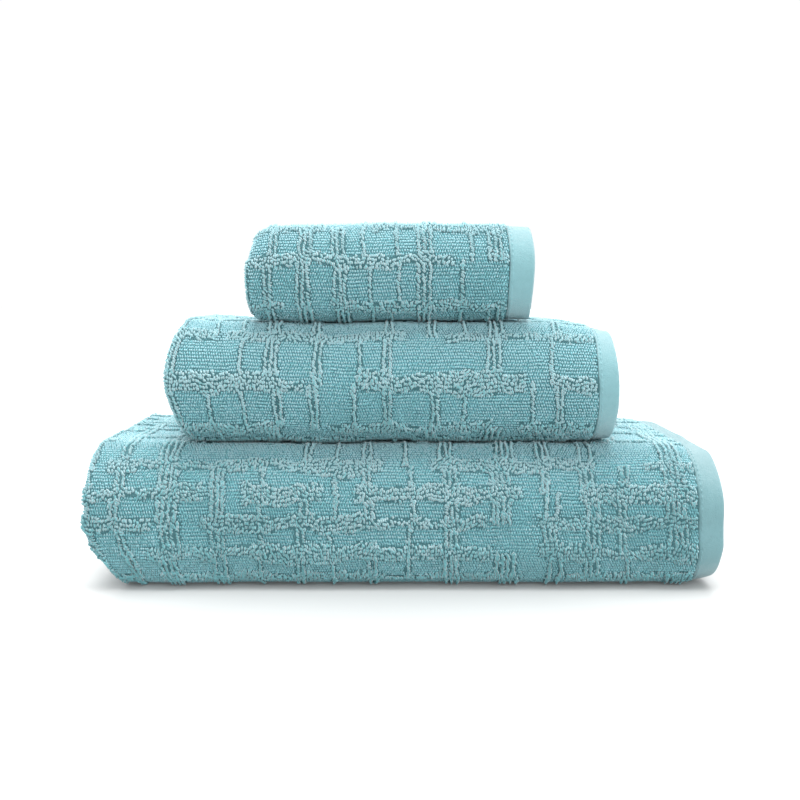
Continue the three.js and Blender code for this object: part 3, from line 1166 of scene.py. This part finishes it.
class TOWELS_OT_stitches(bpy.types.Operator):
    """Sews a row of stitches along every hem"""

    bl_idname = "towels.stitches"
    bl_label = "Stitches"

    def row(self, plan, x, s, out, along, names, pitch, material):
        """One row at x and s, on the face of the hem that out says, sewn the way along points."""
        piece, node = names
        n = out * (plan["leaf"] + HEM_THICK / 2 + SEAM_LIFT)
        here = place(plan, x, s, n)
        normal = unit(place(plan, x, s, n + NEAR * out) - here)
        heading = unit(place(plan, x + NEAR * along[0], s + NEAR * along[1], n) - here)
        points, faces = stitch_mesh(here, normal, heading, pitch * STITCH_SHARE, SEAM_THICK)
        seam = new_piece(piece, points, faces, f"{plan['name']}_towel", "thread", material)
        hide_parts(node)

    def execute(self, context):
        settings = context.scene.towel_stitch
        pitch = settings.pitch
        for name, plan in PLANS.items():
            dyed = scaled(settings.colour, 1 + HEM_PALER * plan["paler"])
            material = shader_of(f"{name}_sewing_thread", dyed, 0.85, 0.7)
            s = np.arange(pitch, plan["length"] - pitch, pitch)
            x = np.full(len(s), plan["hem_x"] + SEAM_INSET)
            for label, side in (("outer", 1.0), ("inner", -1.0)):
                names = f"{name}_side_stitches_{label}", f"{name}_side_seam_{label}"
                self.row(plan, x, s, np.full(len(s), side), (0.0, 1.0), names, pitch, material)
            leaf = np.arange(plan["fold_x"], plan["hem_x"] - 2.0, pitch)
            x, out = np.concatenate([leaf, leaf]), np.repeat([1.0, -1.0], len(leaf))
            inset = plan["end_hem"] - SEAM_INSET
            for label, at in (("first", inset), ("last", plan["length"] - inset)):
                names = f"{name}_end_stitches_{label}", f"{name}_end_seam_{label}"
                self.row(plan, x, np.full(len(x), at), out, (1.0, 0.0), names, pitch, material)
        return {"FINISHED"}


class TOWELS_OT_labels(bpy.types.Operator):
    """Makes the blank care label of each towel"""

    bl_idname = "towels.labels"
    bl_label = "Care Labels"

    def execute(self, context):
        material = satin_material(context.scene.towel_label)
        for name in PLANS:
            low, high = node_box(f"{name}_care_label")
            across = np.linspace(low[0], high[0], 14)
            out = np.linspace(low[1] + LABEL_EASE, high[1], 10)
            grid_y, grid_x = np.meshgrid(out, across, indexing="ij")
            reach = (grid_y - low[1]) / (high[1] - low[1])
            curl = 0.5 * reach * ripple(grid_x / 6 + len(name))
            top = (low[2] + high[2]) / 2 + LABEL_THICK / 2 + curl * 0.3 - 0.25 * reach**2
            upper = np.stack([grid_x, grid_y, top], -1)
            lower = upper - np.array([0, 0, LABEL_THICK])
            grid = relax(PLANS[name], np.concatenate([upper, lower[:, ::-1]], 1))
            label = swept_piece(f"{name}_label_ribbon", grid, f"{name}_label", "satin", material)
            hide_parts(f"{name}_care_label")
        return {"FINISHED"}


class TOWELS_OT_stage(bpy.types.Operator):
    """Sets the floor, the lights and the camera"""

    bl_idname = "towels.stage"
    bl_label = "Stage"

    def light(self, name, strength, spread, towards):
        """A broad lamp that lights everything alike, from the way that towards points."""
        sun = bpy.data.lights.new(name, "SUN")
        sun.energy, sun.angle = strength, math.radians(spread)
        lamp = bpy.data.objects.new(name, sun)
        bpy.context.scene.collection.objects.link(lamp)
        flat = math.hypot(towards[0], towards[1])
        lamp.location = towards
        turned = math.atan2(towards[0], -towards[1])
        lamp.rotation_euler = (math.atan2(flat, towards[2]), 0, turned)

    def execute(self, context):
        settings = context.scene.towel_stage
        scene = context.scene
        bpy.ops.object.select_all(action="DESELECT")
        bpy.ops.mesh.primitive_plane_add(size=FLOOR_SIDE, location=(0, FLOOR_BACK, -FLOOR_DROP))
        floor = context.active_object
        floor.name = "floor"
        bpy.ops.object.transform_apply(location=True, rotation=False, scale=False)
        paper = shader_of("studio_paper", (0.455, 0.465, 0.465), 0.55, 0.0)
        shader = paper.node_tree.nodes["Principled BSDF"]
        shader.inputs["Emission Color"].default_value = (1, 1, 1, 1)
        shader.inputs["Emission Strength"].default_value = 0.05
        floor.data.materials.append(paper)
        world = bpy.data.worlds.new("studio")
        world.use_nodes = True
        sky = world.node_tree.nodes["Background"]
        sky.inputs["Color"].default_value = (1, 1, 1, 1)
        sky.inputs["Strength"].default_value = 1.02
        scene.world = world
        self.light("overhead", 4.6, 50, (0.0, 0.2, 1.0))
        self.light("front_low", 1.3, 40, (0.3, -1.0, 0.5))
        self.light("back_low", 1.6, 40, (0.0, 1.0, 0.45))
        scene.view_settings.view_transform = "Standard"
        scene.view_settings.look = "None"
        camera = bpy.data.objects.new("camera", bpy.data.cameras.new("camera"))
        scene.collection.objects.link(camera)
        camera.data.lens = settings.lens
        camera.data.sensor_width = 36.0
        front = CAD_BOX[0][1]
        camera.location = (CAMERA_X, front - settings.distance, settings.height)
        camera.rotation_euler = (math.pi / 2 - settings.tilt, 0, 0)
        scene.camera = camera
        return {"FINISHED"}


class TOWELS_PT_panel(bpy.types.Panel):
    bl_label = "Folded Towels"
    bl_idname = "TOWELS_PT_panel"
    bl_space_type = "VIEW_3D"
    bl_region_type = "UI"
    bl_category = "Towels"

    def draw(self, context):
        for cls in STEPS:
            self.layout.operator(cls.bl_idname)
        for name, cls in SETTINGS.items():
            group = getattr(context.scene, name)
            for key in cls.__annotations__:
                self.layout.prop(group, key)


SETTINGS = {
    "towel_cloth": ClothSettings,
    "towel_pile": PileSettings,
    "towel_hem": HemSettings,
    "towel_stitch": StitchSettings,
    "towel_label": LabelSettings,
    "towel_stage": StageSettings,
}
STEPS = (
    TOWELS_OT_terry,
    TOWELS_OT_pile,
    TOWELS_OT_knots,
    TOWELS_OT_side_hems,
    TOWELS_OT_end_hems,
    TOWELS_OT_stitches,
    TOWELS_OT_labels,
    TOWELS_OT_stage,
)


def register():
    for cls in (*SETTINGS.values(), *STEPS, TOWELS_PT_panel):
        bpy.utils.register_class(cls)
    for name, cls in SETTINGS.items():
        setattr(bpy.types.Scene, name, bpy.props.PointerProperty(type=cls))


def unregister():
    for name in SETTINGS:
        delattr(bpy.types.Scene, name)
    for cls in reversed((*SETTINGS.values(), *STEPS, TOWELS_PT_panel)):
        bpy.utils.unregister_class(cls)


PLANS = {}


def lay_out():
    for name in TOWELS:
        PLANS[name] = plan_of(name)
        PLANS[name]["grid"] = weave_grid(PLANS[name])


def main():
    lay_out()
    register()
    for cls in STEPS:
        group, name = cls.bl_idname.split(".")
        getattr(getattr(bpy.ops, group), name)()


if __name__ == "__main__":
    main()
